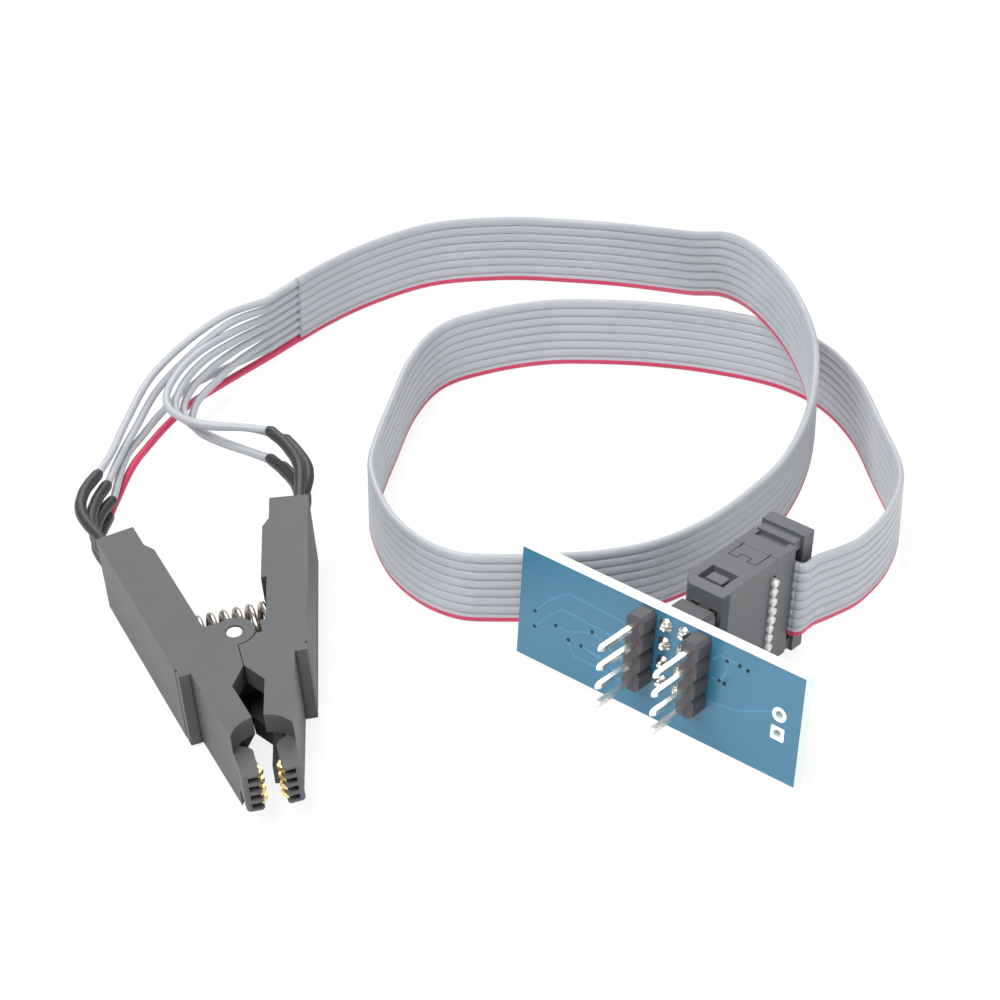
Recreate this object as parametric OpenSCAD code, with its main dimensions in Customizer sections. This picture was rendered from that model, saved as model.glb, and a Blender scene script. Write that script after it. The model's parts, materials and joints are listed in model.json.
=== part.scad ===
// IC test clip for an 8-pad small-outline chip, with its ribbon lead, crimp connector and
// DIP adapter board. Millimetres, +Z up, standing on a table.

/* [Clip] */
// thickness of the clip, along its pivot
clip_t = 10.4; // [8:0.1:14]
// lean of the clip as it lies on the table
clip_roll = -5; // [-8:0.5:0]
// height of the pivot's lower end above the table
clip_lift = 1.124; // [0.5:0.001:3]
// angle of each handle from the long axis
arm_angle = 11.1; // [8:0.1:14]
// length of a handle behind the pivot
arm_len = 24.2; // [18:0.1:30]
// distance of a handle's outer face from the pivot
arm_outer = 8.4; // [7:0.1:10]
// distance of a handle's inner face from the pivot
arm_inner = 2.93; // [2.5:0.01:4]
// how far the inner face steps back at the finger end
arm_step = 0.77; // [0:0.01:1.5]
// length of the nose ahead of the pivot
nose_len = 21.4; // [18:0.1:26]
// height of the finger grip rib's front face above the nose side
rib_step = 1.2; // [0.5:0.1:2]

/* [Hinge] */
// radius of the ears and knuckles
ear_r = 2.4; // [2:0.05:3]
// gap between an ear and the notch round it
ear_gap = 0.15; // [0.1:0.01:0.3]
// gap between two ears along the pivot
layer_gap = 0.1; // [0.06:0.01:0.3]
// radius of the pivot pin
pin_r = 0.9; // [0.6:0.05:1.2]
// radial running clearance of the pin in the right half
pin_clear = 0.05; // [0.02:0.01:0.1]

/* [Contacts] */
// pitch of the chip's leads
lead_pitch = 1.27; // [0.65:0.01:1.27]
// height of a contact strip
strip_h = 0.64; // [0.3:0.02:0.8]
// thickness of a contact strip
strip_t = 0.3; // [0.2:0.01:0.4]
// clearance of a strip in its slot, each side
strip_clear = 0.05; // [0.02:0.01:0.1]
// length of a strip's tail behind the handle
tail_len = 3; // [2:0.1:5]

/* [Spring] */
// outer diameter of the spring
spring_od = 6.2; // [5:0.1:7]
// wire diameter of the spring
spring_wire = 0.75; // [0.5:0.05:1]
// length of the spring between its seats
spring_len = 11.3; // [10:0.1:12]
// number of turns
spring_turns = 6.9; // [5:0.1:9]
// distance of the spring behind the pivot
spring_y = 5.8; // [5:0.1:8]

/* [Adapter board] */
// board length
board_w = 39.6; // [30:0.1:50]
// board height
board_h = 14.7; // [12:0.1:20]
// board thickness
board_t = 1.6; // [0.8:0.1:2.4]
// pitch of all header pins
pin_pitch = 2.54; // [2:0.01:2.54]
// side of a square header pin
pin_side = 0.64; // [0.5:0.02:0.7]
// spacing of the two pin rows that plug into a DIP socket
dip_rows = 7.62; // [7.62:0.01:15.24]
// distance of the first pin row from the board's left end
dip_u = 18.1; // [12:0.1:24]
// drop of the first pin below the board's top edge
first_drop = 1.5; // [1.3:0.1:4]
// drill diameter of the spare pad holes
pad_drill = 1.0; // [0.8:0.1:1.2]

/* [Connector] */
// width of the connector across the ribbon
conn_w = 6.0; // [5:0.1:7]
// height of the connector along the ribbon's width
conn_h = 14.8; // [14:0.1:20]
// depth of the socket body
body_d = 9.0; // [8:0.1:10]
// depth of the cover behind the ribbon
cover_d = 3.8; // [3:0.1:5]
// depth of the strain relief
relief_d = 2.0; // [1.5:0.1:3]
// how far the socket can be pulled off the pins
unplug = 8; // [5:0.5:10]

/* [Ribbon] */
// pitch of the wires in the ribbon
wire_pitch = 1.27; // [1:0.01:1.27]
// diameter over the insulation of one wire
wire_d = 0.9; // [0.7:0.05:1]
// outer diameter of a heat-shrink sleeve over its wire
sleeve_d = 1.5; // [1.3:0.05:1.7]

/* [Hidden] */
$fn = 48;
eps = 0.01;
// the origin stands under the middle of the clip and the board together
shift_x = -21.92;
shift_y = -5.09;
seam = 0.05;                       // half of the seam between the two halves
lay_h = clip_t/4;                  // height of one ear
wall = 1.1;                        // side wall of the nose
tip_h = 4*lead_pitch + 0.12;       // height of the comb at the nose
tip_x = 1.3;                       // half of the gap between the combs
slot_h = strip_h + 2*strip_clear;
strip_w = 6.9;                     // distance of a strip from the pivot in the handle
recess = 0.7;                      // depth of the spring's recess in a handle
hdr_u = dip_u + (dip_rows - pin_pitch)/2;
bar_d = 2.5;                       // depth of a header's plastic bar
bar_w = 2.4;
pin_out = 6.7;                     // pin beyond the plastic
tip_taper = 0.6;
ribbon_w = 8*wire_pitch;
conn_y = board_t + bar_d + 1.4;    // mating face of the socket
conn_u = hdr_u + pin_pitch/2;
conn_z = board_h - first_drop - 1.5*pin_pitch - 0.1;
ear_h = 16.0;                      // height over the strain relief's ends
cable_t = wire_d;
wire_gap = 0.5;                    // from a wire's end to its sleeve
tail_d = lead_pitch - 0.08;        // sleeve over a contact's tail

// ---------- small helpers ----------
function arm_pt(s, w) = [s*sin(arm_angle) + w*cos(arm_angle), s*cos(arm_angle) - w*sin(arm_angle)];
function unit(v) = v/norm(v);
function lerp(a, b, t) = a + (b - a)*t;

// left and right sides of a strip that follows a line of points
function side_pt(p, i, h) =
  let (n = len(p),
       a = unit(p[min(i + 1, n - 1)] - p[min(i, n - 2)]),
       b = unit(p[max(i, 1)] - p[max(i - 1, 0)]),
       t = unit(a + b), c = t*a)
  p[i] + [-t[1], t[0]]*h/c;
function band(p, h) = concat([for (i = [0:len(p) - 1]) side_pt(p, i, h)],
  [for (i = [len(p) - 1:-1:0]) side_pt(p, i, -h)]);

// a closed skin over rings of equal size
module skin(rings) {
  n = len(rings[0]);
  m = len(rings);
  polyhedron(points = [for (r = rings) for (q = r) q],
    faces = concat([[for (i = [n - 1:-1:0]) i]],
      [for (j = [0:m - 2]) for (i = [0:n - 1])
        [j*n + i, j*n + (i + 1)%n, (j + 1)*n + (i + 1)%n, (j + 1)*n + i]],
      [[for (i = [0:n - 1]) (m - 1)*n + i]]), convexity = 10);
}
function dir_at(p, i) = unit(unit(p[min(i + 1, len(p) - 1)] - p[min(i, len(p) - 2)])
  + unit(p[max(i, 1)] - p[max(i - 1, 0)]));
// a round cord of diameter d through the points p
// or of one diameter at each point
module cord(p, d, sides = 8) {
  skin([for (i = [0:len(p) - 1])
    let (t = dir_at(p, i), a = unit(cross([0, 0, 1], t)), b = cross(t, a),
         r = (is_list(d) ? d[i] : d)/2/cos(180/sides)*0.985)
    [for (k = [0:sides - 1]) let (g = 360*(k + 0.5)/sides) p[i] + (a*cos(g) + b*sin(g))*r]]);
}
// a flat ribbon standing on its edge along the points p: x, y, height of the lower edge and,
// where it leans, how far the upper edge lies beside the lower one
module ribbon(p, w, t) {
  c = t*0.3;
  skin([for (i = [0:len(p) - 1])
    let (q = [for (k = p) [k[0], k[1], 0]], d = dir_at(q, i), a = [-d[1], d[0], 0],
         o = [p[i][0], p[i][1], p[i][2]],
         up = len(p[i]) > 3 ? unit([p[i][3], p[i][4], w]) : [0, 0, 1])
    [for (e = [[-t/2, c], [-t/2 + c, 0], [t/2 - c, 0], [t/2, c], [t/2, w - c], [t/2 - c, w],
               [-t/2 + c, w], [-t/2, w - c]]) o + a*e[0] + up*e[1]]]);
}

// ---------- frames ----------
module home() { translate([shift_x, shift_y, 0]) children(); }
module clip_frame() {
  home() translate([0, 0, clip_lift]) rotate([0, clip_roll, 0]) children();
}
// the left half is the right one turned over about the long axis
module left_side() { translate([0, 0, clip_t]) rotate([0, 180, 0]) children(); }
board_at = [32.5, 1.0, 1.3];
board_yaw = -52.4;
board_lean = -6;
board_tilt = -1;
module board_frame() {
  home() translate(board_at) rotate([0, 0, board_yaw]) rotate([board_lean, 0, 0])
    rotate([0, board_tilt, 0]) children();
}

// ---------- clip ----------
nose_a = [6.0, -5.65];
nose_b = [3.45, -18];
in_n = [-0.979, 0.202];
rib_y = -5.85;
function outer_run() = [
  arm_pt(arm_len, arm_outer), arm_pt(-2.9, arm_outer), arm_pt(-2.95, arm_outer - 0.3),
  arm_pt(-3.25, arm_outer - 0.3), arm_pt(-3.3, arm_outer), arm_pt(-4.3, arm_outer),
  [nose_a[0] + rib_step*0.2, rib_y + 0.1], nose_a];
function inner_run() = [
  [3.15, 1.0], arm_pt(18.8, arm_inner), arm_pt(20.3, arm_inner + arm_step),
  arm_pt(arm_len, arm_inner + arm_step)];
// plate layer: arm, nose plate with the window's side, throat
module plate_2d() {
  difference() {
    polygon(concat(inner_run(), outer_run(), [nose_b, [nose_b[0] - 0.05, nose_b[1] - 0.6],
      [0.67, -17.0], [0.67, -15.1], [1.86, -9.3], [seam, -6.25], [seam, -1.1], [3.1, -1.1]]));
    translate([0, -18.9]) circle(r = 3.75, $fn = 64);
  }
}
// hollow layer between the plates: arm, side wall and comb
module wall_2d() {
  polygon(concat(inner_run(), outer_run(), [nose_b, [3.3, -nose_len], [3.0, -nose_len - 0.3],
    [tip_x + 0.3, -nose_len - 0.4], [tip_x, -nose_len - 0.1], [tip_x, -17.6], [1.7, -17.0],
    nose_b + in_n*wall + [0.21, 1.2], nose_a + in_n*wall + [0, -0.6], [3.1, -3.6], [3.1, -1.1]]));
}
module ear_2d() {
  circle(r = ear_r);
  polygon([[0, ear_r], [1.15, 2.1], [3.9, 1.83], [4.6, 0], [4.6, -2.2], [0, -ear_r]]);
}
// channels that the four contact strips lie in
function strip_path() = [arm_pt(arm_len + tail_len, strip_w), arm_pt(1.2, strip_w), [4.35, -6.9],
  [2.15, -17.3], [2.1, -18.6], [0.95, -20.5], [1.6, -21.3]];
function slot_path() = [arm_pt(arm_len + 1, strip_w), arm_pt(1.2, strip_w), [4.35, -6.9],
  [4.3, -7.2]];
strip_z = [for (i = [0:3]) clip_t/2 + (i - 1.5)*lead_pitch];
module half_clip() {
  difference() {
    union() {
      linear_extrude(lay_h) plate_2d();
      translate([0, 0, lay_h]) linear_extrude(2*lay_h) wall_2d();
      translate([0, 0, 3*lay_h]) linear_extrude(lay_h) plate_2d();
      linear_extrude(lay_h - layer_gap/2) ear_2d();
      translate([0, 0, 2*lay_h + layer_gap/2]) linear_extrude(lay_h - layer_gap) ear_2d();
    }
    // notches round the other half's ear and knuckle
    translate([0, 0, 3*lay_h - layer_gap/2]) cylinder(r = ear_r + ear_gap, h = lay_h + 1);
    translate([0, 0, lay_h - layer_gap/2]) cylinder(r = ear_r + ear_gap, h = lay_h + layer_gap);
    // spring recess and its round seat
    translate([0, 0, 2.0]) linear_extrude(clip_t)
      polygon([[2, 1.0], [3.15 + recess, 1.0], [3.15 + 7.5*tan(arm_angle) + recess, 8.5], [2, 8.5]]);
    translate([0, spring_y, clip_t/2]) rotate([0, 90, 0])
      cylinder(r = spring_od/2 + 0.15, h = spring_len/2 + 0.05);
    // contact channels in the handle, slots in the comb
    for (z = strip_z) {
      translate([0, 0, z - slot_h/2]) linear_extrude(slot_h)
        polygon(band(slot_path(), strip_t/2 + strip_clear));
      translate([0, -nose_len - 2, z - slot_h/2]) cube([2.7, nose_len + 2 - 16.6, slot_h]);
    }
    // the comb ends short of the plates' faces
    translate([-1, -nose_len - 1, -1]) cube([6, nose_len + 1 - 18.65, 1 + (clip_t - tip_h)/2]);
    translate([-1, -nose_len - 1, (clip_t + tip_h)/2]) cube([6, nose_len + 1 - 18.65, clip_t]);
    // counterbore for the pin's end in the outer ear
    translate([0, 0, -eps]) cylinder(r = pin_r + 0.15, h = 0.15 + eps);
    children();
  }
}
module jaw_right() color([0.27, 0.28, 0.29]) clip_frame()
  half_clip() translate([0, 0, -1]) cylinder(r = pin_r + pin_clear, h = clip_t + 2);
module jaw_left() color([0.27, 0.28, 0.29]) clip_frame()
  left_side() half_clip() translate([0, 0, -1]) cylinder(r = pin_r, h = clip_t + 2);
module pivot_pin() color([0.72, 0.72, 0.74]) clip_frame()
  translate([0, 0, 0.15]) cylinder(r = pin_r, h = clip_t - 0.3);

module contact(z) color([0.83, 0.68, 0.34]) translate([0, 0, z - strip_h/2])
  linear_extrude(strip_h) polygon(band(strip_path(), strip_t/2));
module contact_r1() clip_frame() contact(strip_z[3]);
module contact_r2() clip_frame() contact(strip_z[2]);
module contact_r3() clip_frame() contact(strip_z[1]);
module contact_r4() clip_frame() contact(strip_z[0]);
module contact_l1() clip_frame() left_side() contact(strip_z[3]);
module contact_l2() clip_frame() left_side() contact(strip_z[2]);
module contact_l3() clip_frame() left_side() contact(strip_z[1]);
module contact_l4() clip_frame() left_side() contact(strip_z[0]);

module spring() {
  n = 14;
  k = 6;
  steps = round(spring_turns*n);
  r = (spring_od - spring_wire)/2;
  l = spring_len - spring_wire;
  color([0.7, 0.68, 0.66]) clip_frame() translate([-l/2, spring_y, clip_t/2])
    skin([for (i = [0:steps]) let (a = 360*i/n) [for (j = [0:k - 1]) let (b = 360*j/k,
      q = r + spring_wire/2*cos(b)) [l*i/steps + spring_wire/2*sin(b), q*cos(a), q*sin(a)]]]);
}

// ---------- adapter board ----------
function row_z(i) = board_h - first_drop - i*pin_pitch;
module circuit_board() color([0.18, 0.44, 0.57]) board_frame() difference() {
  cube([board_w, board_t, board_h]);
  for (i = [0:3]) for (u = [dip_u, dip_u + dip_rows, hdr_u, hdr_u + pin_pitch])
    translate([u, -1, row_z(i)]) rotate([-90, 0, 0]) cylinder(r = 0.5, h = board_t + 2, $fn = 24);
  for (z = [pad_z[0], pad_z[1]])
    translate([pad_u, -1, z]) rotate([-90, 0, 0]) cylinder(d = pad_drill, h = board_t + 2, $fn = 24);
}
pad_u = 36.7;
pad_z = [board_h - 6.1, board_h - 8.64];
// one square pin along +Y with tapered ends
module pin_at(u, z, y0, y1) translate([u, 0, z]) skin([for (e = [[y0, 0.55], [y0 + tip_taper, 1],
  [y1 - tip_taper, 1], [y1, 0.55]]) [for (c = [[-1, -1], [1, -1], [1, 1], [-1, 1]])
  [c[0]*e[1]*pin_side/2, e[0], c[1]*e[1]*pin_side/2]]]);
// four joined cells of a header bar, with notches between them
module bar_cells(w, rows) {
  c = 0.45;
  for (i = [0:rows - 1]) translate([0, 0, -i*pin_pitch]) linear_extrude(pin_pitch, center = true)
    square([eps, eps], center = true);
  polygon_pts = concat(
    [for (i = [0:rows - 1]) for (e = [[w/2 - c, pin_pitch/2], [w/2, pin_pitch/2 - c],
      [w/2, -pin_pitch/2 + c], [w/2 - c, -pin_pitch/2]]) [e[0], e[1] - i*pin_pitch]],
    [for (i = [rows - 1:-1:0]) for (e = [[-w/2 + c, -pin_pitch/2], [-w/2, -pin_pitch/2 + c],
      [-w/2, pin_pitch/2 - c], [-w/2 + c, pin_pitch/2]]) [e[0], e[1] - i*pin_pitch]]);
  rotate([90, 0, 0]) linear_extrude(bar_d) polygon(polygon_pts);
}
module dip_bar(u) color([0.22, 0.22, 0.24]) board_frame() difference() {
  translate([u, 0, row_z(0)]) bar_cells(bar_w, 4);
  for (i = [0:3]) translate([u - pin_side/2, -bar_d - 1, row_z(i) - pin_side/2])
    cube([pin_side, bar_d + 2, pin_side]);
}
module dip_bar_left() dip_bar(dip_u);
module dip_bar_right() dip_bar(dip_u + dip_rows);
module dip_pins() color([0.8, 0.8, 0.78]) board_frame()
  for (i = [0:3]) for (u = [dip_u, dip_u + dip_rows]) {
    pin_at(u, row_z(i), -bar_d - pin_out, board_t + 0.9);
    for (s = [0, 1]) translate([u, s == 0 ? 0 : board_t, row_z(i)]) rotate([-90, 0, 0])
      translate([0, 0, s == 0 ? 0 : 0]) cylinder(r1 = 0.49, r2 = 0.49, h = s == 0 ? board_t : 0.3);
  }
module header_base() color([0.2, 0.2, 0.22]) board_frame() difference() {
  translate([hdr_u + pin_pitch/2, board_t + bar_d, row_z(0)]) bar_cells(2*pin_pitch, 4);
  for (i = [0:3]) for (u = [hdr_u, hdr_u + pin_pitch])
    translate([u - pin_side/2, board_t - 1, row_z(i) - pin_side/2])
      cube([pin_side, bar_d + 2, pin_side]);
}
module header_pins() color([0.8, 0.78, 0.7]) board_frame()
  for (i = [0:3]) for (u = [hdr_u, hdr_u + pin_pitch]) {
    pin_at(u, row_z(i), -1.0, board_t + bar_d + 6.5);
    translate([u, -0.35, row_z(i)]) rotate([-90, 0, 0]) cylinder(r = 0.49, h = board_t + 0.35);
  }
module pad_rings() color([0.93, 0.93, 0.9]) board_frame() for (y = [-0.05, board_t]) {
  translate([pad_u, y, pad_z[0]]) rotate([-90, 0, 0]) difference() {
    cylinder(d = 1.9, h = 0.05);
    translate([0, 0, -1]) cylinder(d = pad_drill + 0.44, h = 2);
  }
  translate([pad_u, y, pad_z[1]]) difference() {
    translate([-0.9, 0, -0.9]) cube([1.8, 0.05, 1.8]);
    translate([0, -1, 0]) rotate([-90, 0, 0]) cylinder(d = pad_drill + 0.44, h = 2);
  }
}

// ---------- crimp connector ----------
// a frame with its origin at the middle of the socket's mating face, +Y towards the ribbon
module conn_frame() board_frame() translate([conn_u, conn_y, conn_z]) children();
fold_y = body_d;                        // where the ribbon lies on the body
cover_y = fold_y + cable_t;
relief_y = cover_y + cover_d + cable_t + 0.7;
module socket_body() color([0.3, 0.31, 0.33]) conn_frame() difference() {
  rotate([-90, 0, 0]) linear_extrude(body_d)
    square([conn_w, conn_h], center = true);
  // lead-in bevels on the mating face
  for (s = [-1, 1]) translate([s*conn_w/2, 0, 0]) rotate([0, 0, 45])
    cube([0.9, 0.9, conn_h + 2], center = true);
  for (s = [-1, 1]) translate([0, 0, s*conn_h/2]) rotate([45, 0, 0])
    cube([conn_w + 2, 1.3, 1.3], center = true);
  // window in each narrow face
  for (s = [-1, 1]) translate([0, 2.3, s*conn_h/2]) cube([3.6, 3.0, 1.6], center = true);
  // pin sockets
  for (i = [0:3]) for (s = [-1, 1])
    translate([s*pin_pitch/2 - 0.55, -1, (1.5 - i)*pin_pitch + 0.1 - 0.55])
      cube([1.1, 1 + body_d - 1.2, 1.1]);
}
// latch bump in each window
module socket_contacts() color([0.8, 0.66, 0.35]) conn_frame() for (i = [0:3]) for (s = [-1, 1])
  translate([s*pin_pitch/2, 0, (1.5 - i)*pin_pitch + 0.1]) {
    for (k = [-1, 1]) translate([-0.3, 1.2, k*0.43 - 0.06])
      cube([0.6, body_d - 1.2 - 1.3, 0.12]);
    translate([-0.3, body_d - 1.7, -0.49]) cube([0.6, 0.5, 0.98]);
  }
module socket_cover() color([0.26, 0.27, 0.29]) conn_frame() difference() {
  translate([-conn_w/2, cover_y, -conn_h/2]) cube([conn_w, cover_d, conn_h]);
  for (s = [-1, 1]) translate([0, cover_y + cover_d, s*(conn_h/2 + 0.2)])
    cube([4.2, 2.4, 1.2], center = true);
}
module strain_relief() color([0.24, 0.25, 0.27]) conn_frame() {
  translate([-conn_w/2, relief_y, -ear_h/2]) cube([conn_w, relief_d, ear_h]);
  for (s = [-1, 1]) translate([-conn_w/2 + 0.4, cover_y + cover_d + 0.02, s*(ear_h/2 - 1.1) - 0.7])
    cube([conn_w - 0.8, relief_y - cover_y - cover_d, 1.4]);
}
// the ribbon inside the connector: over the body, round the cover and back under the relief
module ribbon_fold() color([0.68, 0.7, 0.73]) conn_frame() {
  y0 = fold_y + cable_t/2;
  y1 = cover_y + cover_d + cable_t/2 + 0.02;
  p = [[conn_w/2 + 0.3, y0], [-conn_w/2 - 0.2, y0], [-conn_w/2 - 0.75, y0 + 0.3],
       [-conn_w/2 - 1.0, (y0 + y1)/2], [-conn_w/2 - 0.75, y1 - 0.3], [-conn_w/2 - 0.2, y1],
       [conn_w/2 + 0.3, y1]];
  translate([0, 0, -ribbon_w/2]) linear_extrude(ribbon_w) polygon(band(p, cable_t/2 - 0.01));
}

// ---------- free ribbon and its wires ----------
// route of the ribbon: x, y, height of its lower edge
lead_route = [[15, 68.6, 0.3], [24.8, 75.8, 0], [33, 79.8, 0], [41, 81.8, 0], [50.6, 80.8, 0],
  [58.3, 78.4, 0], [64.5, 75, 0.6], [69.2, 69.7, 2.4], [72.2, 63.8, 5], [74.4, 57.2, 8.6],
  [76, 49.9, 10.8], [77.2, 41, 11.6], [77.5, 33, 11], [77, 27.5, 8.8], [74.8, 22.6, 4.6],
  [70.5, 17.8, 1.6], [65.4, 14.1, 0.4], [58.8, 9.9, 0], [51.7, 7, 0], [45.3, 6.4, 0],
  [39.3, 7, 0], [32, 8.5, 0], [27.3, 10.2, 0], [23.6, 14.3, 0], [21.3, 20.5, 0],
  [21, 29, 0], [22.9, 35, 0], [26.4, 42.5, 0], [31, 51.5, 0], [36.2, 57.4, 0],
  [43, 59.4, 0], [50.5, 59.7, 0], [57.2, 58.3, 0], [64.5, 55.9, 0], [72, 52.3, 0],
  [79, 47.4, 0], [83.2, 41.5, 0], [85, 33.5, 0], [84.6, 23.4, 0.2], [83.4, 12.5, 1],
  [79.4, 4.6, 1.8], [74.2, -0.9, 2.4], [70, -3.6, 3.1, 0.3, 0.3], [66.7, -5.35, 3.7, 0.6, 0.6],
  [65.25, -6.5, 3.84, 0.73, 0.79], [64.6, -6.95, 3.86, 0.73, 0.79], [64.05, -6.95, 3.87, 0.73, 0.79],
  [63.55, -6.45, 3.87, 0.73, 0.79]];
module ribbon_cable() color([0.68, 0.7, 0.73]) home() ribbon(lead_route, ribbon_w, cable_t);
function wire_z(i) = lead_route[0][2] + wire_pitch*(i - 0.5);
w1 = [[15, 68.6, wire_z(1)], [8, 62.2, 2.2], [2.9, 57.2, 3.2], [-0.8, 52.5, 3.8], [-4, 47.7, 4.3],
  [-6.9, 43.1, 4.4]];
w2 = [[15, 68.6, wire_z(2)], [8, 63.2, 3.6], [2.6, 58.6, 4.6], [-1.4, 53.4, 5.1], [-4.6, 48.5, 5.4],
  [-7.4, 43.9, 5.6]];
w3 = [[15, 68.6, wire_z(3)], [10.3, 63.6, 4.4], [6.6, 58.8, 5.0], [3.6, 54.8, 5.2], [2.2, 51, 5.2],
  [2.7, 48, 5.1], [5, 45.4, 4.9], [8.4, 42.6, 4.7]];
w4 = [[15, 68.6, wire_z(4)], [10.5, 64.4, 5.8], [6.2, 59.6, 6.6], [3.0, 55.4, 6.8], [1.2, 51.2, 6.8],
  [1.6, 47.8, 6.7], [3.8, 44.9, 6.4], [7.2, 42, 6.0]];
w5 = [[15, 68.6, wire_z(5)], [10.2, 64.4, 7.1], [5.6, 59.8, 8.0], [2.2, 55.3, 8.2], [0.2, 50.8, 8.2],
  [0.3, 47.6, 8.2], [2.8, 45, 8.2], [8.4, 43, 8.3]];
w6 = [[15, 68.6, wire_z(6)], [9.8, 64.6, 8.3], [4.9, 60, 9.2], [1.3, 55.4, 9.5], [-0.9, 50.8, 9.5],
  [-0.7, 47, 9.5], [2.0, 43.8, 9.6], [7.2, 41.4, 9.8]];
w7 = [[15, 68.6, wire_z(7)], [9.4, 65, 9.4], [3.4, 60.4, 8.3], [-1.6, 55, 7.4], [-5.2, 48.6, 6.9],
  [-8, 43.4, 6.6]];
w8 = [[15, 68.6, wire_z(8)], [9.4, 65.8, 10.4], [3.2, 61.4, 9.8], [-2.2, 55.8, 9.0], [-6.2, 48.8, 8.2],
  [-9, 43, 7.7]];
wire_grey = [0.7, 0.72, 0.75];
module wire_1() color([0.8, 0.25, 0.36]) home() cord(concat(w1, [back_off(s_l4, w1)]), wire_d);
module wire_2() color(wire_grey) home() cord(concat(w2, [back_off(s_l3, w2)]), wire_d);
module wire_3() color(wire_grey) home() cord(concat(w3, [back_off(s_r4, w3)]), wire_d);
module wire_4() color(wire_grey) home() cord(concat(w4, [back_off(s_r3, w4)]), wire_d);
module wire_5() color(wire_grey) home() cord(concat(w5, [back_off(s_r2, w5)]), wire_d);
module wire_6() color(wire_grey) home() cord(concat(w6, [back_off(s_r1, w6)]), wire_d);
module wire_7() color(wire_grey) home() cord(concat(w7, [back_off(s_l2, w7)]), wire_d);
module wire_8() color(wire_grey) home() cord(concat(w8, [back_off(s_l1, w8)]), wire_d);
// a wire ends just short of its sleeve
function back_off(s, w) = let (e = s[len(s) - 1], f = w[len(w) - 1]) e + unit(f - e)*wire_gap;

// where a strip's tail leaves a handle, in the table's frame
function rolled(p) = [p[0]*cos(clip_roll) + p[2]*sin(clip_roll), p[1],
  clip_lift - p[0]*sin(clip_roll) + p[2]*cos(clip_roll)];
function tail(side, z, s) = let (q = arm_pt(s, strip_w)) rolled([side*q[0], q[1], z]);
// heat-shrink sleeves, from 0.1 behind the handle to the wire
s_r1 = [tail(1, strip_z[3], arm_len + 0.1), tail(1, strip_z[3], arm_len + 3.2),
  [12.6, 32, 9.4], [11.9, 36.4, 9.6], [10.3, 40.2, 9.7]];
s_r2 = [tail(1, strip_z[2], arm_len + 0.1), tail(1, strip_z[2], arm_len + 3.2),
  [13.7, 32, 8.2], [13.4, 36, 8.3], [12.2, 39.8, 8.4]];
s_r3 = [tail(1, strip_z[1], arm_len + 0.1), tail(1, strip_z[1], arm_len + 3.2),
  [12.3, 31.8, 6.3], [11.5, 36, 6.0], [10.1, 39.7, 5.8]];
s_r4 = [tail(1, strip_z[0], arm_len + 0.1), tail(1, strip_z[0], arm_len + 3.2),
  [13.2, 32, 4.8], [12.8, 36, 4.6], [11.6, 39.6, 4.5]];
s_l1 = [tail(-1, strip_z[3], arm_len + 0.1), tail(-1, strip_z[3], arm_len + 3.2),
  [-14.4, 31.2, 7.4], [-13.6, 35.6, 7.4], [-11.2, 39.3, 7.4]];
s_l2 = [tail(-1, strip_z[2], arm_len + 0.1), tail(-1, strip_z[2], arm_len + 3.2),
  [-13.4, 31, 6.0], [-12.3, 35.2, 6.0], [-10.3, 38.6, 6.1]];
s_l3 = [tail(-1, strip_z[1], arm_len + 0.1), tail(-1, strip_z[1], arm_len + 3.2),
  [-13.1, 30.6, 4.5], [-11.9, 34.4, 4.6], [-9.9, 37.2, 4.6]];
s_l4 = [tail(-1, strip_z[0], arm_len + 0.1), tail(-1, strip_z[0], arm_len + 3.2),
  [-13, 30.4, 2.9], [-11.8, 33.8, 3.0], [-10.6, 36.2, 3.0]];
module sleeve(p, side, z) color([0.14, 0.14, 0.15]) difference() {
  home() cord(p, [tail_d, tail_d, sleeve_d - 0.05, sleeve_d, sleeve_d], 10);
  clip_frame() if (side > 0) contact(z); else left_side() contact(clip_t - z);
}
module sleeve_r1() sleeve(s_r1, 1, strip_z[3]);
module sleeve_r2() sleeve(s_r2, 1, strip_z[2]);
module sleeve_r3() sleeve(s_r3, 1, strip_z[1]);
module sleeve_r4() sleeve(s_r4, 1, strip_z[0]);
module sleeve_l1() sleeve(s_l1, -1, strip_z[3]);
module sleeve_l2() sleeve(s_l2, -1, strip_z[2]);
module sleeve_l3() sleeve(s_l3, -1, strip_z[1]);
module sleeve_l4() sleeve(s_l4, -1, strip_z[0]);

jaw_left();
jaw_right();
pivot_pin();
spring();
contact_l1();
contact_l2();
contact_l3();
contact_l4();
contact_r1();
contact_r2();
contact_r3();
contact_r4();
sleeve_l1();
sleeve_l2();
sleeve_l3();
sleeve_l4();
sleeve_r1();
sleeve_r2();
sleeve_r3();
sleeve_r4();
wire_1();
wire_2();
wire_3();
wire_4();
wire_5();
wire_6();
wire_7();
wire_8();
ribbon_cable();
ribbon_fold();
socket_body();
socket_cover();
strain_relief();
socket_contacts();
circuit_board();
dip_bar_left();
dip_bar_right();
dip_pins();
header_base();
header_pins();
pad_rings();
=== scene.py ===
import bpy, json, math, random
from mathutils import Vector, Matrix

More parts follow.
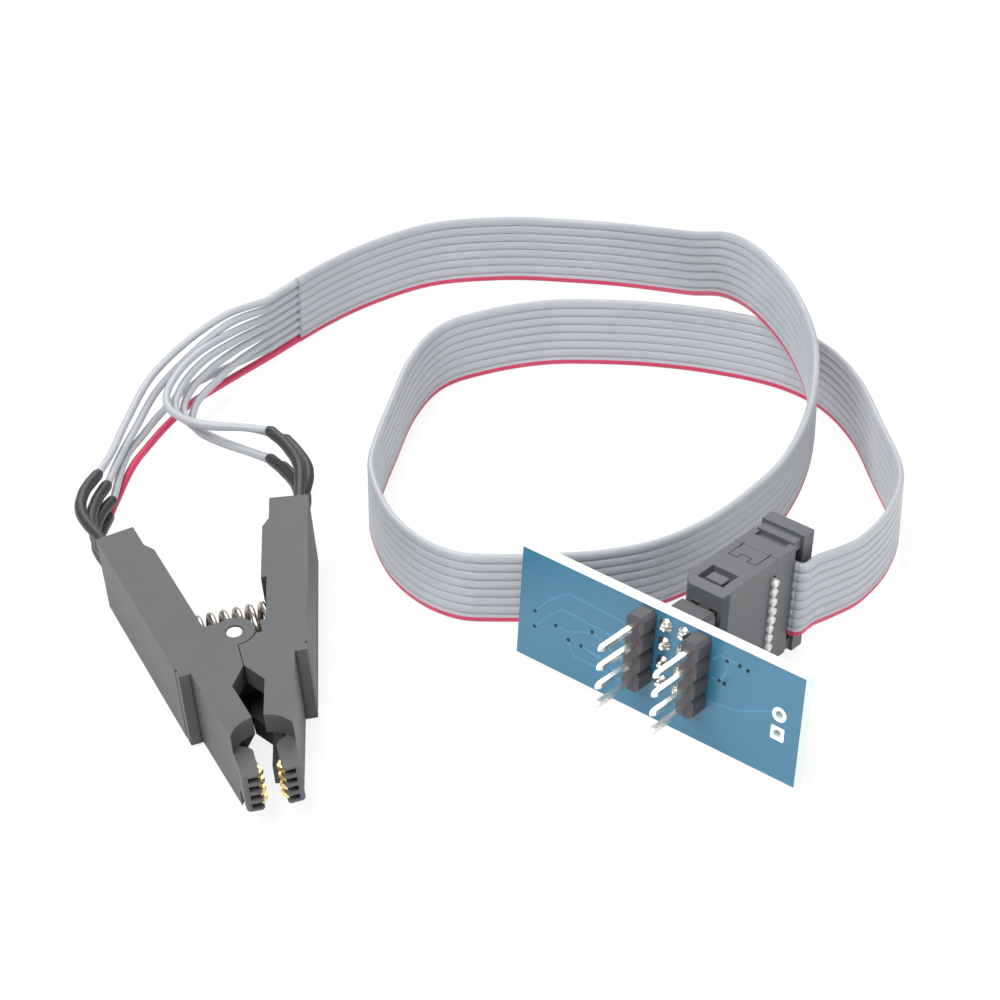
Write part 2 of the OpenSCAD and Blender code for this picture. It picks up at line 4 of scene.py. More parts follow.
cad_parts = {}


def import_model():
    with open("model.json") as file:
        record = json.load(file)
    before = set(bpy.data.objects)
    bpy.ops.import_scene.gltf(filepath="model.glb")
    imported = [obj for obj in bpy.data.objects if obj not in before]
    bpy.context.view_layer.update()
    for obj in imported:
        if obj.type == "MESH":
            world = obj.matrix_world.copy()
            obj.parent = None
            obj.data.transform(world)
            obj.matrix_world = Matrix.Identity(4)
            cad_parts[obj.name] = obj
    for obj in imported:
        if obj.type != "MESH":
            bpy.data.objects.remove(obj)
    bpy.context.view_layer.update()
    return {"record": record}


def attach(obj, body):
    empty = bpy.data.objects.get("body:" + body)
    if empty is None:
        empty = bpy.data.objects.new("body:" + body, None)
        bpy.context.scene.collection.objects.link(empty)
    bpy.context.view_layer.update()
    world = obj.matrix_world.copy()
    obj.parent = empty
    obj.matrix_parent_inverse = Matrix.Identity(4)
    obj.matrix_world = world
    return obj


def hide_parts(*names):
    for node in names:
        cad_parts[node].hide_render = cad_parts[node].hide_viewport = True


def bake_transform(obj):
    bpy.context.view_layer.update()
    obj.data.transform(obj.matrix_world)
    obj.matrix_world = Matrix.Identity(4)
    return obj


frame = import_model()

random.seed(11)
MM = 0.001
# where the clip's pivot stands from the part's origin, in millimetres
SH = Vector((-21.92, -5.09, 0.0))
CAMERA_AT, LOOK_AT = (-39.4, -290.4, 249.75), (37.9, 31.9, 0)
scene = bpy.context.scene


def V(p):
    return (Vector(p[:3]) + SH) * MM


def rot(deg, axis):
    return Matrix.Rotation(math.radians(deg), 4, axis)


# where the clip lies: height of the pivot's foot and roll, then its own frame
CLIP_LIFT, CLIP_ROLL = 1.124, -5
SCALE = Matrix.Scale(MM, 4)
CLIP = SCALE @ Matrix.Translation(SH + Vector((0, 0, CLIP_LIFT))) @ rot(CLIP_ROLL, "Y")
BOARD = (SCALE @ Matrix.Translation(SH + Vector((32.5, 1.0, 1.3))) @ rot(-52.4, "Z")
         @ rot(-6, "X") @ rot(-1, "Y"))
CONN = BOARD @ Matrix.Translation((21.91, 5.5, 9.29))

# ---------------- camera ----------------
cam = bpy.data.objects.new("camera", bpy.data.cameras.new("camera"))
scene.collection.objects.link(cam)
scene.camera = cam
cam.data.lens = 118.8
cam.data.sensor_width = 36.0
cam.data.clip_start = 0.01
cam.data.clip_end = 5.0
cam.location = V(CAMERA_AT)
cam.rotation_mode = "QUATERNION"
cam.rotation_quaternion = (V(LOOK_AT) - V(CAMERA_AT)).to_track_quat("-Z", "Y")


# ---------------- materials ----------------
def material(name, color, rough=0.5, metal=0.0, bump=0.0, bscale=2000.0, vary=0.06, vscale=300.0,
             spec=0.5, coat=0.0, detail=6.0, rvary=0.08):
    m = bpy.data.materials.new(name)
    m.use_nodes = True
    nt = m.node_tree
    b = nt.nodes["Principled BSDF"]
    co = nt.nodes.new("ShaderNodeTexCoord")
    n1 = nt.nodes.new("ShaderNodeTexNoise")
    n1.inputs["Scale"].default_value = vscale
    n1.inputs["Detail"].default_value = detail
    nt.links.new(co.outputs["Object"], n1.inputs["Vector"])
    ramp = nt.nodes.new("ShaderNodeMix")
    ramp.data_type = "RGBA"
    lo = [max(0.0, c * (1 - vary)) for c in color]
    hi = [min(1.0, c * (1 + vary)) for c in color]
    ramp.inputs["A"].default_value = (*lo, 1)
    ramp.inputs["B"].default_value = (*hi, 1)
    nt.links.new(n1.outputs["Fac"], ramp.inputs["Factor"])
    nt.links.new(ramp.outputs["Result"], b.inputs["Base Color"])
    mr = nt.nodes.new("ShaderNodeMapRange")
    mr.inputs["To Min"].default_value = max(0.02, rough - rvary)
    mr.inputs["To Max"].default_value = min(1.0, rough + rvary)
    nt.links.new(n1.outputs["Fac"], mr.inputs["Value"])
    nt.links.new(mr.outputs["Result"], b.inputs["Roughness"])
    b.inputs["Metallic"].default_value = metal
    b.inputs["Specular IOR Level"].default_value = spec
    b.inputs["Coat Weight"].default_value = coat
    if bump:
        n2 = nt.nodes.new("ShaderNodeTexNoise")
        n2.inputs["Scale"].default_value = bscale
        n2.inputs["Detail"].default_value = 4
        nt.links.new(co.outputs["Object"], n2.inputs["Vector"])
        bp = nt.nodes.new("ShaderNodeBump")
        bp.inputs["Strength"].default_value = bump
        bp.inputs["Distance"].default_value = 0.00005
        nt.links.new(n2.outputs["Fac"], bp.inputs["Height"])
        nt.links.new(bp.outputs["Normal"], b.inputs["Normal"])
    return m


JAW = material("jaw_plastic", (0.062, 0.066, 0.068), 0.55, bump=0.25, bscale=4000, vary=0.08)
CONNP = material("connector_plastic", (0.085, 0.09, 0.096), 0.48, bump=0.2, bscale=3500, vary=0.07)
HDR = material("header_plastic", (0.06, 0.057, 0.064), 0.5, bump=0.2, bscale=3000)
STEEL = material("pin_steel", (0.5, 0.5, 0.5), 0.35, 1.0, bump=0.15, bscale=6000)
SPRING = material("spring_steel", (0.56, 0.51, 0.45), 0.24, 1.0, bump=0.05, bscale=5000, vary=0.12)
GOLD = material("gold_contact", (0.86, 0.66, 0.3), 0.28, 1.0, vary=0.08)
SLEEVE = material("sleeve_black", (0.022, 0.023, 0.025), 0.46, bump=0.35, bscale=2500)
GREY = material("cable_grey", (0.36, 0.375, 0.41), 0.42, bump=0.12, bscale=1500, vary=0.05)
RED = material("wire_red", (0.5, 0.03, 0.09), 0.42, bump=0.12, bscale=1500)
CUT = material("cut_wire_end", (0.72, 0.7, 0.66), 0.5, 0.3, bump=0.5, bscale=5000, vary=0.25,
               vscale=3000)
TIN = material("tinned_pin", (0.8, 0.78, 0.73), 0.25, 1.0, vary=0.1, vscale=900)
SOLDER = material("solder", (0.82, 0.81, 0.78), 0.22, 1.0, bump=0.3, bscale=2500, vary=0.12)
PAD = material("pad_tin", (0.9, 0.9, 0.88), 0.35, 0.4)
MASK = material("board_blue", (0.03, 0.15, 0.25), 0.33, bump=0.12, bscale=900, vary=0.1, vscale=120,
                coat=0.25)
EDGE = material("board_edge", (0.68, 0.74, 0.7), 0.6, bump=0.4, bscale=3000, vary=0.12, vscale=900)
TRACE = material("board_track", (0.045, 0.2, 0.33), 0.33, vary=0.06, coat=0.2)
# near-black painted shade, used for the shade inside the connector's latch gaps and the board's via
# holes
GAP_SHADE = material("painted_gap_shade", (0.01, 0.01, 0.011), 0.7)

SLOTS = {"jaw_plastic": JAW, "connector_plastic": CONNP, "header_plastic": HDR, "pin_steel": STEEL,
         "spring_steel": SPRING, "gold_contact": GOLD, "sleeve_black": SLEEVE, "cable_grey": GREY,
         "wire_red": RED, "tinned_pin": TIN, "pad_tin": PAD, "board_blue": MASK}


# ---------------- mesh helpers ----------------
def obj(name, verts, faces, mats, idx=None, smooth=True, body="clip_and_lead", slot=None):
    me = bpy.data.meshes.new(name)
    me.from_pydata([tuple(v) for v in verts], [], faces)
    for m in mats if isinstance(mats, (list, tuple)) else [mats]:
        me.materials.append(m)
    if idx:
        me.polygons.foreach_set("material_index", idx)
    me.polygons.foreach_set("use_smooth", [smooth] * len(me.polygons))
    me.update()
    o = bpy.data.objects.new(name, me)
    scene.collection.objects.link(o)
    if body:
        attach(o, body)
    return o


def spline(pts, step):
    """Catmull-Rom line through pts (tuples of any length), a point about every step."""
    out = []
    n = len(pts)
    for i in range(n - 1):
        p0, p1, p2, p3 = pts[max(i - 1, 0)], pts[i], pts[i + 1], pts[min(i + 2, n - 1)]
        k = max(1, round(math.dist(p1[:3], p2[:3]) / step))
        for j in range(k):
            t = j / k
            out.append(tuple(0.5 * (2 * b + (c - a) * t + (2 * a - 5 * b + 4 * c - d) * t * t
                                    + (3 * b - a - 3 * c + d) * t ** 3)
                             for a, b, c, d in zip(p0, p1, p2, p3)))
    out.append(tuple(pts[-1]))
    return out


def rings(sections, closed_ends=True):
    n = len(sections[0])
    verts = [p for s in sections for p in s]
    faces = [(j * n + i, j * n + (i + 1) % n, (j + 1) * n + (i + 1) % n, (j + 1) * n + i)
             for j in range(len(sections) - 1) for i in range(n)]
    if closed_ends:
        faces.append(tuple(range(n - 1, -1, -1)))
        faces.append(tuple((len(sections) - 1) * n + i for i in range(n)))
    return verts, faces


def tube(path, radius, sides=14):
    """path in metres; radius a number or one for each point."""
    secs = []
    for i, p in enumerate(path):
        t = (path[min(i + 1, len(path) - 1)] - path[max(i - 1, 0)]).normalized()
        a = Vector((0, 0, 1)).cross(t).normalized()
        b = t.cross(a)
        r = radius[i] if isinstance(radius, list) else radius
        turn = [2 * math.pi * k / sides for k in range(sides)]
        secs.append([p + (a * math.cos(g) + b * math.sin(g)) * r for g in turn])
    return rings(secs)


# ---------------- ribbon ----------------
ROUTE = [(15, 68.6, 0.3), (24.8, 75.8, 0), (33, 79.8, 0), (41, 81.8, 0), (50.6, 80.8, 0),
         (58.3, 78.4, 0), (64.5, 75, 0.6), (69.2, 69.7, 2.4), (72.2, 63.8, 5), (74.4, 57.2, 8.6),
         (76, 49.9, 10.8), (77.2, 41, 11.6), (77.5, 33, 11), (77, 27.5, 8.8), (74.8, 22.6, 4.6),
         (70.5, 17.8, 1.6), (65.4, 14.1, 0.4), (58.8, 9.9, 0), (51.7, 7, 0), (45.3, 6.4, 0),
         (39.3, 7, 0), (32, 8.5, 0), (27.3, 10.2, 0), (23.6, 14.3, 0), (21.3, 20.5, 0),
         (21, 29, 0), (22.9, 35, 0), (26.4, 42.5, 0), (31, 51.5, 0), (36.2, 57.4, 0),
         (43, 59.4, 0), (50.5, 59.7, 0), (57.2, 58.3, 0), (64.5, 55.9, 0), (72, 52.3, 0),
         (79, 47.4, 0), (83.2, 41.5, 0), (85, 33.5, 0), (84.6, 23.4, 0.2), (83.4, 12.5, 1),
         (79.4, 4.6, 1.8), (74.2, -0.9, 2.4), (70, -3.6, 3.1, 0.3, 0.3),
         (66.7, -5.35, 3.7, 0.6, 0.6),
         (65.25, -6.5, 3.84, 0.73, 0.79), (64.6, -6.95, 3.86, 0.73, 0.79),
         (64.05, -6.95, 3.87, 0.73, 0.79), (63.55, -6.45, 3.87, 0.73, 0.79)]
ROUTE = [tuple(p) + (0.0,) * (5 - len(p)) for p in ROUTE]
# pitch of the wires, width of the ribbon, length over which its wires are parted
PITCH, W, SPLIT = 1.27, 10.16, 5.0


def wire_profile():
    """One side of the ribbon's section: (half thickness, height, wire, place in the wire)."""
    pts = []
    for i in range(8):
        for k in range(0 if i == 0 else 1, 9):
            a = -math.cos(math.pi * k / 8)
            outer = (i == 0 and a < 0) or (i == 7 and a > 0)
            swell = math.sqrt(max(0.0, 1 - a * a))
            h = 0.45 * swell if outer else 0.15 + 0.3 * swell
            pts.append((h, (i + 0.5 + a / 2) * PITCH, i, a))
    return pts


prof = wire_profile()
line = spline(ROUTE, 1.1)
# the ribbon proper starts where its wires part
d, start = 0.0, 0
while d < SPLIT:
    d += math.dist(line[start][:3], line[start + 1][:3])
    start += 1
lead = line[start:]
secs = []
for i, p in enumerate(lead):
    q, r = lead[min(i + 1, len(lead) - 1)], lead[max(i - 1, 0)]
    t = Vector((q[0] - r[0], q[1] - r[1], 0)).normalized()
    n = Vector((-t.y, t.x, 0))
    up = Vector((p[3], p[4], W)).normalized()
    o = Vector(p[:3])
    secs.append([(o + n * h + up * z + SH) * MM for h, z, _, _ in prof]
                + [(o - n * h + up * z + SH) * MM for h, z, _, _ in reversed(prof[1:-1])])
verts, faces = rings(secs)
row = len(secs[0])
m = len(prof)
which = []
for j in range(len(secs) - 1):
    for i in range(row):
        c = i if i < m - 1 else row - 1 - i
        c = min(max(c, 0), m - 2)
        which.append(1 if prof[c][2] == 0 and prof[c + 1][3] < 0.45 else 0)
which += [0, 0]
ribbon = obj("ribbon_lead", verts, faces, [GREY, RED], which, slot="cable_grey")
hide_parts("ribbon_cable")

# ---------------- wires and sleeves ----------------
WIRES = [
    [(8, 62.2, 2.2), (2.9, 57.2, 3.2), (-0.8, 52.5, 3.8), (-4, 47.7, 4.3), (-6.9, 43.1, 4.4)],
    [(8, 63.2, 3.6), (2.6, 58.6, 4.6), (-1.4, 53.4, 5.1), (-4.6, 48.5, 5.4), (-7.4, 43.9, 5.6)],
    [(10.3, 63.6, 4.4), (6.6, 58.8, 5.0), (3.6, 54.8, 5.2), (2.2, 51, 5.2), (2.7, 48, 5.1),
     (5, 45.4, 4.9), (8.4, 42.6, 4.7)],
    [(10.5, 64.4, 5.8), (6.2, 59.6, 6.6), (3.0, 55.4, 6.8), (1.2, 51.2, 6.8), (1.6, 47.8, 6.7),
     (3.8, 44.9, 6.4), (7.2, 42, 6.0)],
    [(10.2, 64.4, 7.1), (5.6, 59.8, 8.0), (2.2, 55.3, 8.2), (0.2, 50.8, 8.2), (0.3, 47.6, 8.2),
     (2.8, 45, 8.2), (8.4, 43, 8.3)],
    [(9.8, 64.6, 8.3), (4.9, 60, 9.2), (1.3, 55.4, 9.5), (-0.9, 50.8, 9.5), (-0.7, 47, 9.5),
     (2.0, 43.8, 9.6), (7.2, 41.4, 9.8)],
    [(9.4, 65, 9.4), (3.4, 60.4, 8.3), (-1.6, 55, 7.4), (-5.2, 48.6, 6.9), (-8, 43.4, 6.6)],
    [(9.4, 65.8, 10.4), (3.2, 61.4, 9.8), (-2.2, 55.8, 9.0), (-6.2, 48.8, 8.2), (-9, 43, 7.7)]]
# heights of the four contacts in the clip, the handle's angle, the strips' place in it
SZ = [5.2 + (i - 1.5) * PITCH for i in range(4)]
ARM_ANGLE, STRIP_OUT = 11.1, 6.9


def tail(side, z, s):
    """Point on a contact's tail, s along the handle; side is 1 on the right, -1 on the left."""
    a = math.radians(ARM_ANGLE)
    x = s * math.sin(a) + STRIP_OUT * math.cos(a)
    y = s * math.cos(a) - STRIP_OUT * math.sin(a)
    r = math.radians(CLIP_ROLL)
    return (side * x * math.cos(r) + z * math.sin(r), y,
            CLIP_LIFT - side * x * math.sin(r) + z * math.cos(r))


SLEEVES = {
    "sleeve_r1": (1, SZ[3], [(12.6, 32, 9.4), (11.9, 36.4, 9.6), (10.3, 40.2, 9.7)], 5),
    "sleeve_r2": (1, SZ[2], [(13.7, 32, 8.2), (13.4, 36, 8.3), (12.2, 39.8, 8.4)], 4),
    "sleeve_r3": (1, SZ[1], [(12.3, 31.8, 6.3), (11.5, 36, 6.0), (10.1, 39.7, 5.8)], 3),
    "sleeve_r4": (1, SZ[0], [(13.2, 32, 4.8), (12.8, 36, 4.6), (11.6, 39.6, 4.5)], 2),
    "sleeve_l1": (-1, SZ[3], [(-14.4, 31.2, 7.4), (-13.6, 35.6, 7.4), (-11.2, 39.3, 7.4)], 7),
    "sleeve_l2": (-1, SZ[2], [(-13.4, 31, 6.0), (-12.3, 35.2, 6.0), (-10.3, 38.6, 6.1)], 6),
    "sleeve_l3": (-1, SZ[1], [(-13.1, 30.6, 4.5), (-11.9, 34.4, 4.6), (-9.9, 37.2, 4.6)], 1),
    "sleeve_l4": (-1, SZ[0], [(-13, 30.4, 2.9), (-11.8, 33.8, 3.0), (-10.6, 36.2, 3.0)], 0)}
slit = line[:start + 1]
for name, (side, z, pts, w) in SLEEVES.items():
    ctrl = [tail(side, z, 24.3), tail(side, z, 27.4)] + pts
    fine = spline(ctrl, 0.5)
    path = [V(p) for p in fine]
    n = len(path)
    rad = []
    for i in range(n):
        u = i / (n - 1)
        r = 0.6 + 0.14 * min(1.0, u * 2.2)
        r += 0.012 * math.sin(23 * u + w) + 0.01 * math.sin(51 * u + 2 * w)
        if n - 1 - i < 2:
            r *= (0.8, 0.96)[n - 1 - i]
        rad.append(r * MM)
    vs, fs = tube(path, rad, 16)
    o = obj("shrink_" + name, vs, fs, SLEEVE, slot="sleeve_black",
            body="right_half" if side > 0 else "clip_and_lead")
    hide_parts(name)
    # the wire, from the ribbon's end to 1 mm inside the sleeve
    end = Vector(pts[-1])
    back = (end - Vector(WIRES[w][-1])).normalized()
    zc = (w + 0.5) * PITCH
    head = [(p[0], p[1], p[2] + zc) for p in reversed(slit[::2])]
    lay = spline(head + WIRES[w] + [tuple(end + back * 0.1)], 0.8)
    wp = [V(p) for p in lay]
    vs, fs = tube(wp, 0.49 * MM, 14)
    o = obj(f"lead_wire_{w + 1}", vs, fs, RED if w == 0 else GREY, body=None,
            slot="wire_red" if w == 0 else "cable_grey")
    if side > 0:
        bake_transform(o)
    else:
        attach(o, "clip_and_lead")
    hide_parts(f"wire_{w + 1}")

# ---------------- carried-over CAD nodes ----------------
slot_of = {s["node"]: s["material_slot"] for s in frame["record"]["subparts"]}
for n, s in slot_of.items():
    o = bpy.data.objects.get(n)
    if o and o.type == "MESH":
        o.data.materials.clear()
        o.data.materials.append(SLOTS[s])

# board edges show the bare laminate, its faces the solder mask
normal = BOARD.to_3x3() @ Vector((0, 1, 0))
normal.normalize()
nt = MASK.node_tree
geo = nt.nodes.new("ShaderNodeNewGeometry")
dot = nt.nodes.new("ShaderNodeVectorMath")
dot.operation = "DOT_PRODUCT"
dot.inputs[1].default_value = normal
nt.links.new(geo.outputs["Normal"], dot.inputs[0])
ab = nt.nodes.new("ShaderNodeMath")
ab.operation = "ABSOLUTE"
nt.links.new(dot.outputs["Value"], ab.inputs[0])
gt = nt.nodes.new("ShaderNodeMath")
gt.operation = "GREATER_THAN"
gt.inputs[1].default_value = 0.7
nt.links.new(ab.outputs[0], gt.inputs[0])
em_ = nt.nodes.new("ShaderNodeMix")
em_.data_type = "RGBA"
em_.inputs["A"].default_value = (0.62, 0.7, 0.66, 1)
old = nt.nodes["Principled BSDF"].inputs["Base Color"].links[0].from_socket
nt.links.new(old, em_.inputs["B"])
nt.links.new(gt.outputs[0], em_.inputs["Factor"])
nt.links.new(em_.outputs["Result"], nt.nodes["Principled BSDF"].inputs["Base Color"])


# ---------------- board details ----------------
def lathe(profile, mat4, sides=20):
    """profile of (radius, depth along -Y of the frame), closed at both ends."""
    turn = [2 * math.pi * k / sides for k in range(sides)]
    secs = [[mat4 @ Vector((r * math.cos(g), -y, r * math.sin(g))) for g in turn] for r,
            y in profile]
    return rings(secs)


def join(parts):
    vs, fs = [], []
    for v, f in parts:
        n = len(vs)
        vs += v
        fs += [tuple(i + n for i in q) for q in f]
    return vs, fs


ROWS = [14.7 - 1.5 - 2.54 * i for i in range(4)]
HU = [20.64, 23.18]
joints = []
for z in ROWS:
    for u in HU:
        h = 0.75 + 0.15 * random.random()
        M = BOARD @ Matrix.Translation((u, 0, z))
        joints.append(lathe([(0.93, 0.0), (0.9, 0.08), (0.72, 0.22), (0.56, 0.42), (0.46, h),
                             (0.34, h + 0.12), (0.05, h + 0.16)], M))
for z in ROWS:
    for u in (18.1, 25.72):
        M = BOARD @ Matrix.Translation((u, 1.6, z)) @ rot(180, "Z")
        joints.append(lathe([(0.93, 0.0), (0.9, 0.08), (0.72, 0.22), (0.56, 0.42), (0.45, 0.8),
                             (0.34, 0.96), (0.05, 1.0)], M))
obj("solder_joints", *join(joints), SOLDER, body="adapter_board", slot="tinned_pin")


def flat_ring(u, z, y0, y1, outer, square, n=40):
    verts, faces = [], []
    for y in (y0, y1):
        for k in range(n):
            a = 2 * math.pi * (k + 0.5) / n
            c, s = math.cos(a), math.sin(a)
            m_ = outer / max(abs(c), abs(s)) if square else outer
            verts.append(BOARD @ Vector((u + 0.5 * c, y, z + 0.5 * s)))
            verts.append(BOARD @ Vector((u + m_ * c, y, z + m_ * s)))
    for k in range(n):
        a, b, c, d = 2 * k, 2 * k + 1, 2 * ((k + 1) % n), 2 * ((k + 1) % n) + 1
        o_ = 2 * n
        faces += [(a, b, d, c), (o_ + a, o_ + c, o_ + d, o_ + b), (a, c, o_ + c, o_ + a),
                  (b, o_ + b, o_ + d, d)]
    return verts, faces


pads = []
for z, sq in ((8.6, False), (6.06, True)):
    pads += [flat_ring(36.7, z, -0.05, 0.0, 0.9 if sq else 0.95, sq),
             flat_ring(36.7, z, 1.6, 1.65, 0.9 if sq else 0.95, sq)]
o = obj("hole_pads", *join(pads), PAD, smooth=False, body="adapter_board", slot="pad_tin")
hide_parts("pad_rings")


def track(pts, w, y, h):
    """a raised copper track under the mask, a flat band along board points."""
    vs, fs = [], []
    for i, p in enumerate(pts):
        a, b = pts[max(i - 1, 0)], pts[min(i + 1, len(pts) - 1)]
        t = Vector((b[0] - a[0], b[1] - a[1])).normalized()
        n = Vector((-t.y, t.x)) * w / 2
        for s, yy in ((1, y), (0.7, y - h), (-0.7, y - h), (-1, y)):
            vs.append(BOARD @ Vector((p[0] + n.x * s, yy, p[1] + n.y * s)))
    for i in range(len(pts) - 1):
        for k in range(3):
            fs.append((4 * i + k, 4 * i + k + 1, 4 * i + k + 5, 4 * i + k + 4))
        fs.append((4 * i + 3, 4 * i, 4 * i + 4, 4 * i + 7))
    fs += [(3, 2, 1, 0), tuple(4 * (len(pts) - 1) + k for k in range(4))]
    return vs, fs


tracks = [[(2.3, 6.8), (4.4, 9.3), (6.9, 11.2), (10.5, 11.1), (16.6, 10.7)],
          [(2.4, 4.7), (4.2, 6.9), (6.2, 8.7), (9.5, 8.5), (13.1, 8.35), (16.6, 8.1)],
          [(5.4, 6.1), (7.2, 6.1), (10.6, 7.6), (14.2, 6.0), (16.7, 5.6)],
          [(7.3, 5.0), (8.2, 3.2), (12.6, 3.1), (16.7, 3.0)],
          [(9.2, 5.0), (12.5, 4.5), (14.5, 3.6)],
          [(27.2, 9.3), (28.4, 9.3), (29.2, 10.7), (29.2, 12.3), (32, 12.3)],
          [(27.2, 11.6), (28.2, 12.6), (30.9, 12.4)], [(35.6, 8.6), (31.5, 6.6), (27.3, 5.9)]]
obj("board_tracks", *join([track(p, 0.32, 0.0, 0.035) for p in tracks]), TRACE, smooth=False,
    body="adapter_board", slot="board_blue")
# near-black discs at the vias are painted shade standing in for the dark of the open via holes
vias = [(2.3, 6.77), (2.38, 4.66), (5.4, 6.1), (10.6, 7.6), (7.34, 5.0), (9.2, 5.0),
        (29.2, 12.3), (30.9, 12.4), (32.0, 12.3), (29.1, 9.2), (28.4, 9.3)]
obj("via_hole_shade", *join([lathe([(0.24, 0.0), (0.24, 0.045), (0.02, 0.05)],
                               BOARD @ Matrix.Translation((u, 0, z)), 12) for u, z in vias]), GAP_SHADE,
    body="adapter_board", slot="board_blue")

# ---------------- connector details ----------------
fold = [(3.3, 9.45), (-3.2, 9.45), (-3.75, 9.75), (-4.0, 11.8), (-3.75, 13.87),
        (-3.2, 14.17), (3.3, 14.17)]
fl = spline(fold, 0.35)
secs = []
for i, p in enumerate(fl):
    q, r = fl[min(i + 1, len(fl) - 1)], fl[max(i - 1, 0)]
    t = Vector((q[0] - r[0], q[1] - r[1])).normalized()
    n = Vector((-t.y, t.x)) * 0.97
    secs.append([CONN @ Vector((p[0] + n.x * h, p[1] + n.y * h, z - 5.08)) for h, z, _, _ in prof]
                + [CONN @ Vector((p[0] - n.x * h, p[1] - n.y * h, z - 5.08))
                   for h, z, _, _ in reversed(prof[1:-1])])
verts, faces = rings(secs)
idx = []
for j in range(len(secs) - 1):
    for i in range(row):
        c = min(max(i if i < m - 1 else row - 1 - i, 0), m - 2)
        idx.append(1 if prof[c][2] == 0 and prof[c + 1][3] < 0.45 else 0)
o = obj("ribbon_turn", verts, faces, [GREY, RED, CUT], idx + [2, 2], slot="cable_grey")
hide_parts("ribbon_fold")
# cut wire ends at the connector's side
cuts = []
for i in range(8):
    z = (i - 3.5) * 1.27
    M = CONN @ Matrix.Translation((2.75, 9.45, z)) @ rot(90, "Z")
    e = 0.72 + 0.18 * random.random()
    cuts.append(lathe([(0.46, 0.0), (0.5, e * 0.5), (0.49 - 0.05 * random.random(), e),
                       (0.3, e + 0.05),
                       (0.28, e - 0.05), (0.02, e - 0.02)], M, 14))
obj("cut_wire_ends", *join(cuts), CUT, slot="cable_grey")


def bevel_block(x0, x1, y0, y1, z0, z1, b, M):
    """a block with all its edges cut at 45 degrees."""
    c = Vector(((x0 + x1) / 2, (y0 + y1) / 2, (z0 + z1) / 2))
    hx, hy, hz = (x1 - x0) / 2, (y1 - y0) / 2, (z1 - z0) / 2
    secs = []
    for z, k in ((-hz, b), (-hz + b, 0), (hz - b, 0), (hz, b)):
        X, Y = hx - k, hy - k
        secs.append([M @ (c + Vector(p)) for p in
                     ((-X + b, -Y, z), (X - b, -Y, z), (X, -Y + b, z), (X, Y - b, z),
                      (X - b, Y, z), (-X + b, Y, z), (-X, Y - b, z), (-X, -Y + b, z))])
    return rings(secs)


arms = []
for s in (-1, 1):
    z0, z1 = sorted((s * 5.2, s * 7.36))
    arms.append(bevel_block(-2.98, 2.98, 8.9, 10.0, z0, z1, 0.06, CONN))
    arms.append(bevel_block(-1.15, 1.15, 1.5, 3.1, *sorted((s * 6.7, s * 7.15)), 0.08, CONN))
    arms.append(bevel_block(-2.6, 2.6, 17.25, 17.45, *sorted((s * 3.0, s * 7.2)), 0.05, CONN))
obj("cover_arms", *join(arms), CONNP, smooth=False, slot="connector_plastic")
# thin near-black strips on the connector's sides are painted shade standing in for the shadowed
# gaps around the latch
gap_shade_lines = []
for s in (-1, 1):
    for seg in ([(-1.9, 7.0), (-1.9, 10.2)], [(1.9, 7.0), (1.9, 10.2)], [(-1.9, 7.0), (-0.7, 7.0)],
                [(0.7, 7.0), (1.9, 7.0)], [(-0.7, 7.0), (-0.7, 7.9)], [(0.7, 7.0), (0.7, 7.9)],
                [(-0.7, 7.9), (0.7, 7.9)]):
        (xa, ya), (xb, yb) = seg
        gap_shade_lines.append(bevel_block(min(xa, xb) - 0.07, max(xa, xb) + 0.07, min(ya, yb) - 0.07,
                                 max(ya, yb) + 0.07, *sorted((s * 7.3, s * 7.415)), 0.01, CONN))
obj("latch_gap_shade", *join(gap_shade_lines), GAP_SHADE, smooth=False, slot="connector_plastic")

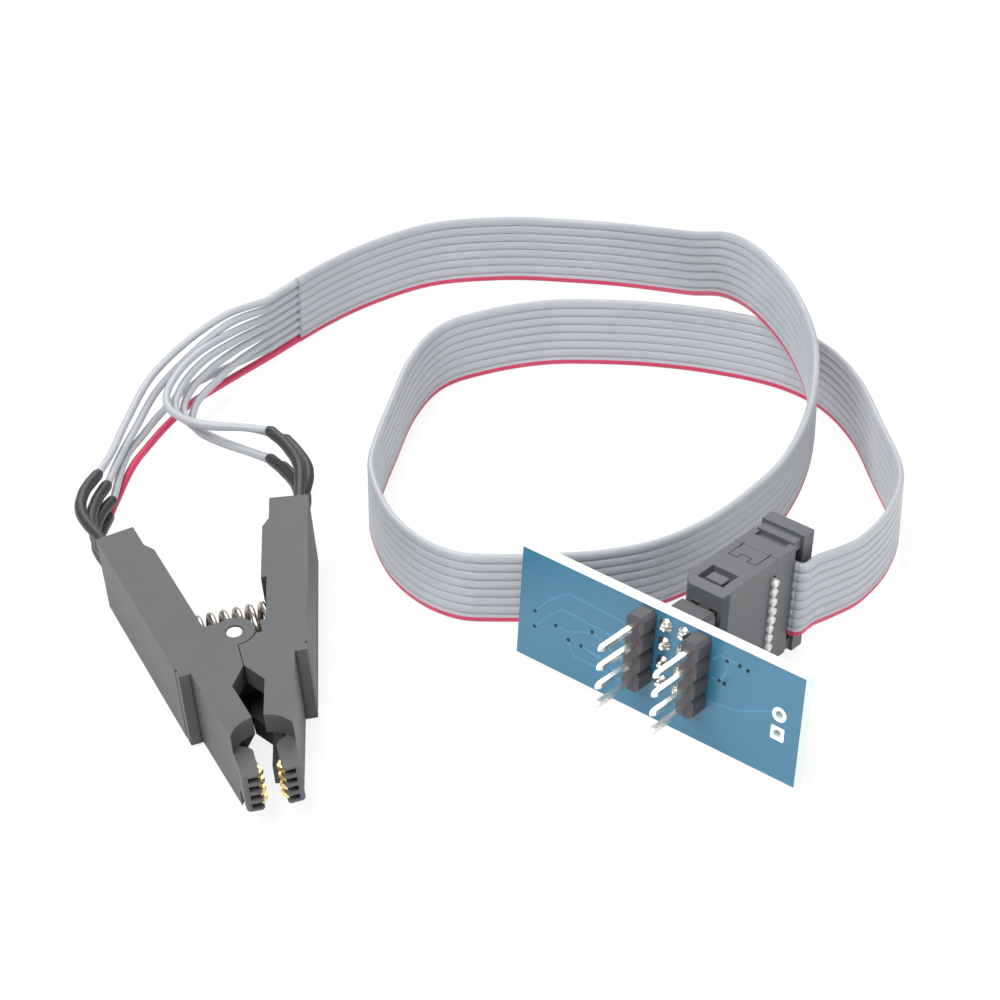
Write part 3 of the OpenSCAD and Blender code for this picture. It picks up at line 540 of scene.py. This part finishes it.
# ---------------- clip details ----------------
turns, coil_r, wire_r = 6.9, 2.725, 0.375
secs = []
N = 44
for i in range(int(turns * N) + 1):
    a = 2 * math.pi * i / N
    u = i / (turns * N)
    x = -5.275 + 10.55 * u
    cx = Vector((x, 5.8 + coil_r * math.cos(a), 5.2 + coil_r * math.sin(a)))
    rad = Vector((0, math.cos(a), math.sin(a)))
    along = Vector((1, 0, 0))
    secs.append([CLIP @ (cx + rad * wire_r * math.cos(g) + along * wire_r * math.sin(g))
                 for g in [2 * math.pi * k / 12 for k in range(12)]])
o = obj("coil_spring", *rings(secs), SPRING, body=None, slot="spring_steel")
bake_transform(o)
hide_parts("spring")

# ---------------- stage ----------------
FLOOR_Z = -0.00005
floor = obj("floor", [(x, y, FLOOR_Z) for x, y in ((-2, -2), (2, -2), (2, 2), (-2, 2))],
            [(0, 1, 2, 3)], material("floor", (0.9, 0.9, 0.9), 0.9), smooth=False, body=None)
nt = floor.data.materials[0].node_tree
out = nt.nodes["Material Output"]
lp = nt.nodes.new("ShaderNodeLightPath")
em = nt.nodes.new("ShaderNodeEmission")
em.inputs["Color"].default_value = (1, 1, 1, 1)
em.inputs["Strength"].default_value = 1.04
mx = nt.nodes.new("ShaderNodeMixShader")
mul = nt.nodes.new("ShaderNodeMath")
mul.operation = "MULTIPLY"
mul.inputs[1].default_value = 0.8
nt.links.new(lp.outputs["Is Camera Ray"], mul.inputs[0])
nt.links.new(mul.outputs[0], mx.inputs[0])
nt.links.new(nt.nodes["Principled BSDF"].outputs[0], mx.inputs[1])
nt.links.new(em.outputs[0], mx.inputs[2])
nt.links.new(mx.outputs[0], out.inputs["Surface"])

world = bpy.data.worlds.new("world")
scene.world = world
world.use_nodes = True
wt = world.node_tree
bg = wt.nodes["Background"]
bg.inputs["Color"].default_value = (1, 1, 1, 1)
bg.inputs["Strength"].default_value = 0.38
scene.view_settings.view_transform = "Standard"


def lamp(name, loc, size, power, at=(0, 20, 0)):
    l = bpy.data.lights.new(name, "AREA")
    l.shape = "DISK"
    l.size = size
    l.energy = power
    o = bpy.data.objects.new(name, l)
    scene.collection.objects.link(o)
    o.location = V(loc)
    o.rotation_mode = "QUATERNION"
    o.rotation_quaternion = (V(at) - V(loc)).to_track_quat("-Z", "Y")


lamp("key", (-200, -120, 420), 0.35, 2.7, (20, 20, 0))
lamp("fill", (330, -200, 260), 0.4, 1.0, (20, 20, 0))
lamp("back", (60, 380, 330), 0.4, 1.3, (20, 20, 0))
